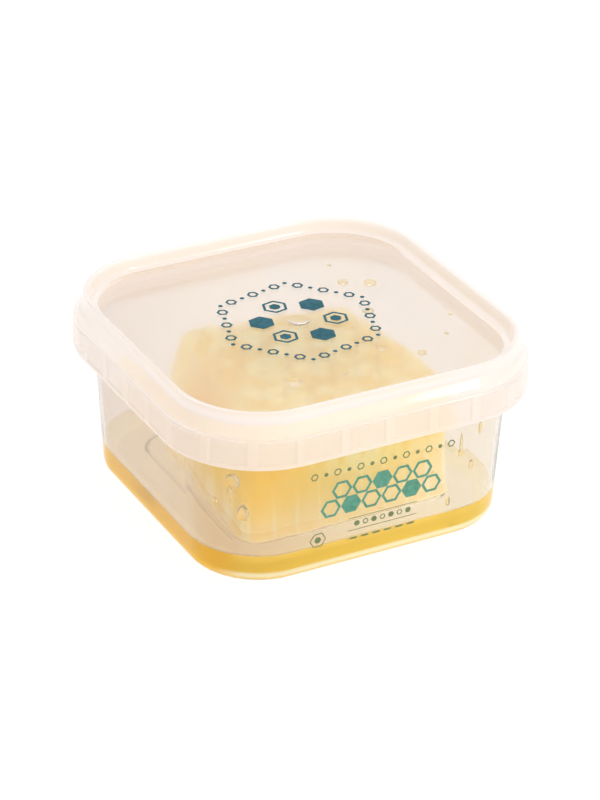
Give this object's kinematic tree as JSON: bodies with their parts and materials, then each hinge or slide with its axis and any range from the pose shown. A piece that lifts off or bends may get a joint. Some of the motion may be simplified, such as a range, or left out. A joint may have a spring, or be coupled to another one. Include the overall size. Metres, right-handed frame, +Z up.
{
  "type": "honeycomb piece in a lidded tub",
  "caption": "Cut block of honeycomb standing in a shallow pool of honey inside a shut clear square tub with a milky press-fit lid.",
  "frame": {"origin": "middle of the tub's base, on the plane that it stands on", "axes": "+Z up to the lid; -Y is the front wall that the comb stands near, +X to the right of it"},
  "size_m": [0.082, 0.082, 0.042],
  "materials": {
    "clear_plastic": "clear moulded plastic, glossy outside",
    "milky_plastic": "translucent milky moulded plastic, satin",
    "wax_comb": "pale capped wax with honey showing through its cells",
    "honey": "clear amber liquid"
  },
  "bodies": {
    "root": {"tub": "clear_plastic", "lid": "milky_plastic", "comb": "wax_comb", "honey": "honey"}
  },
  "joints": []
}
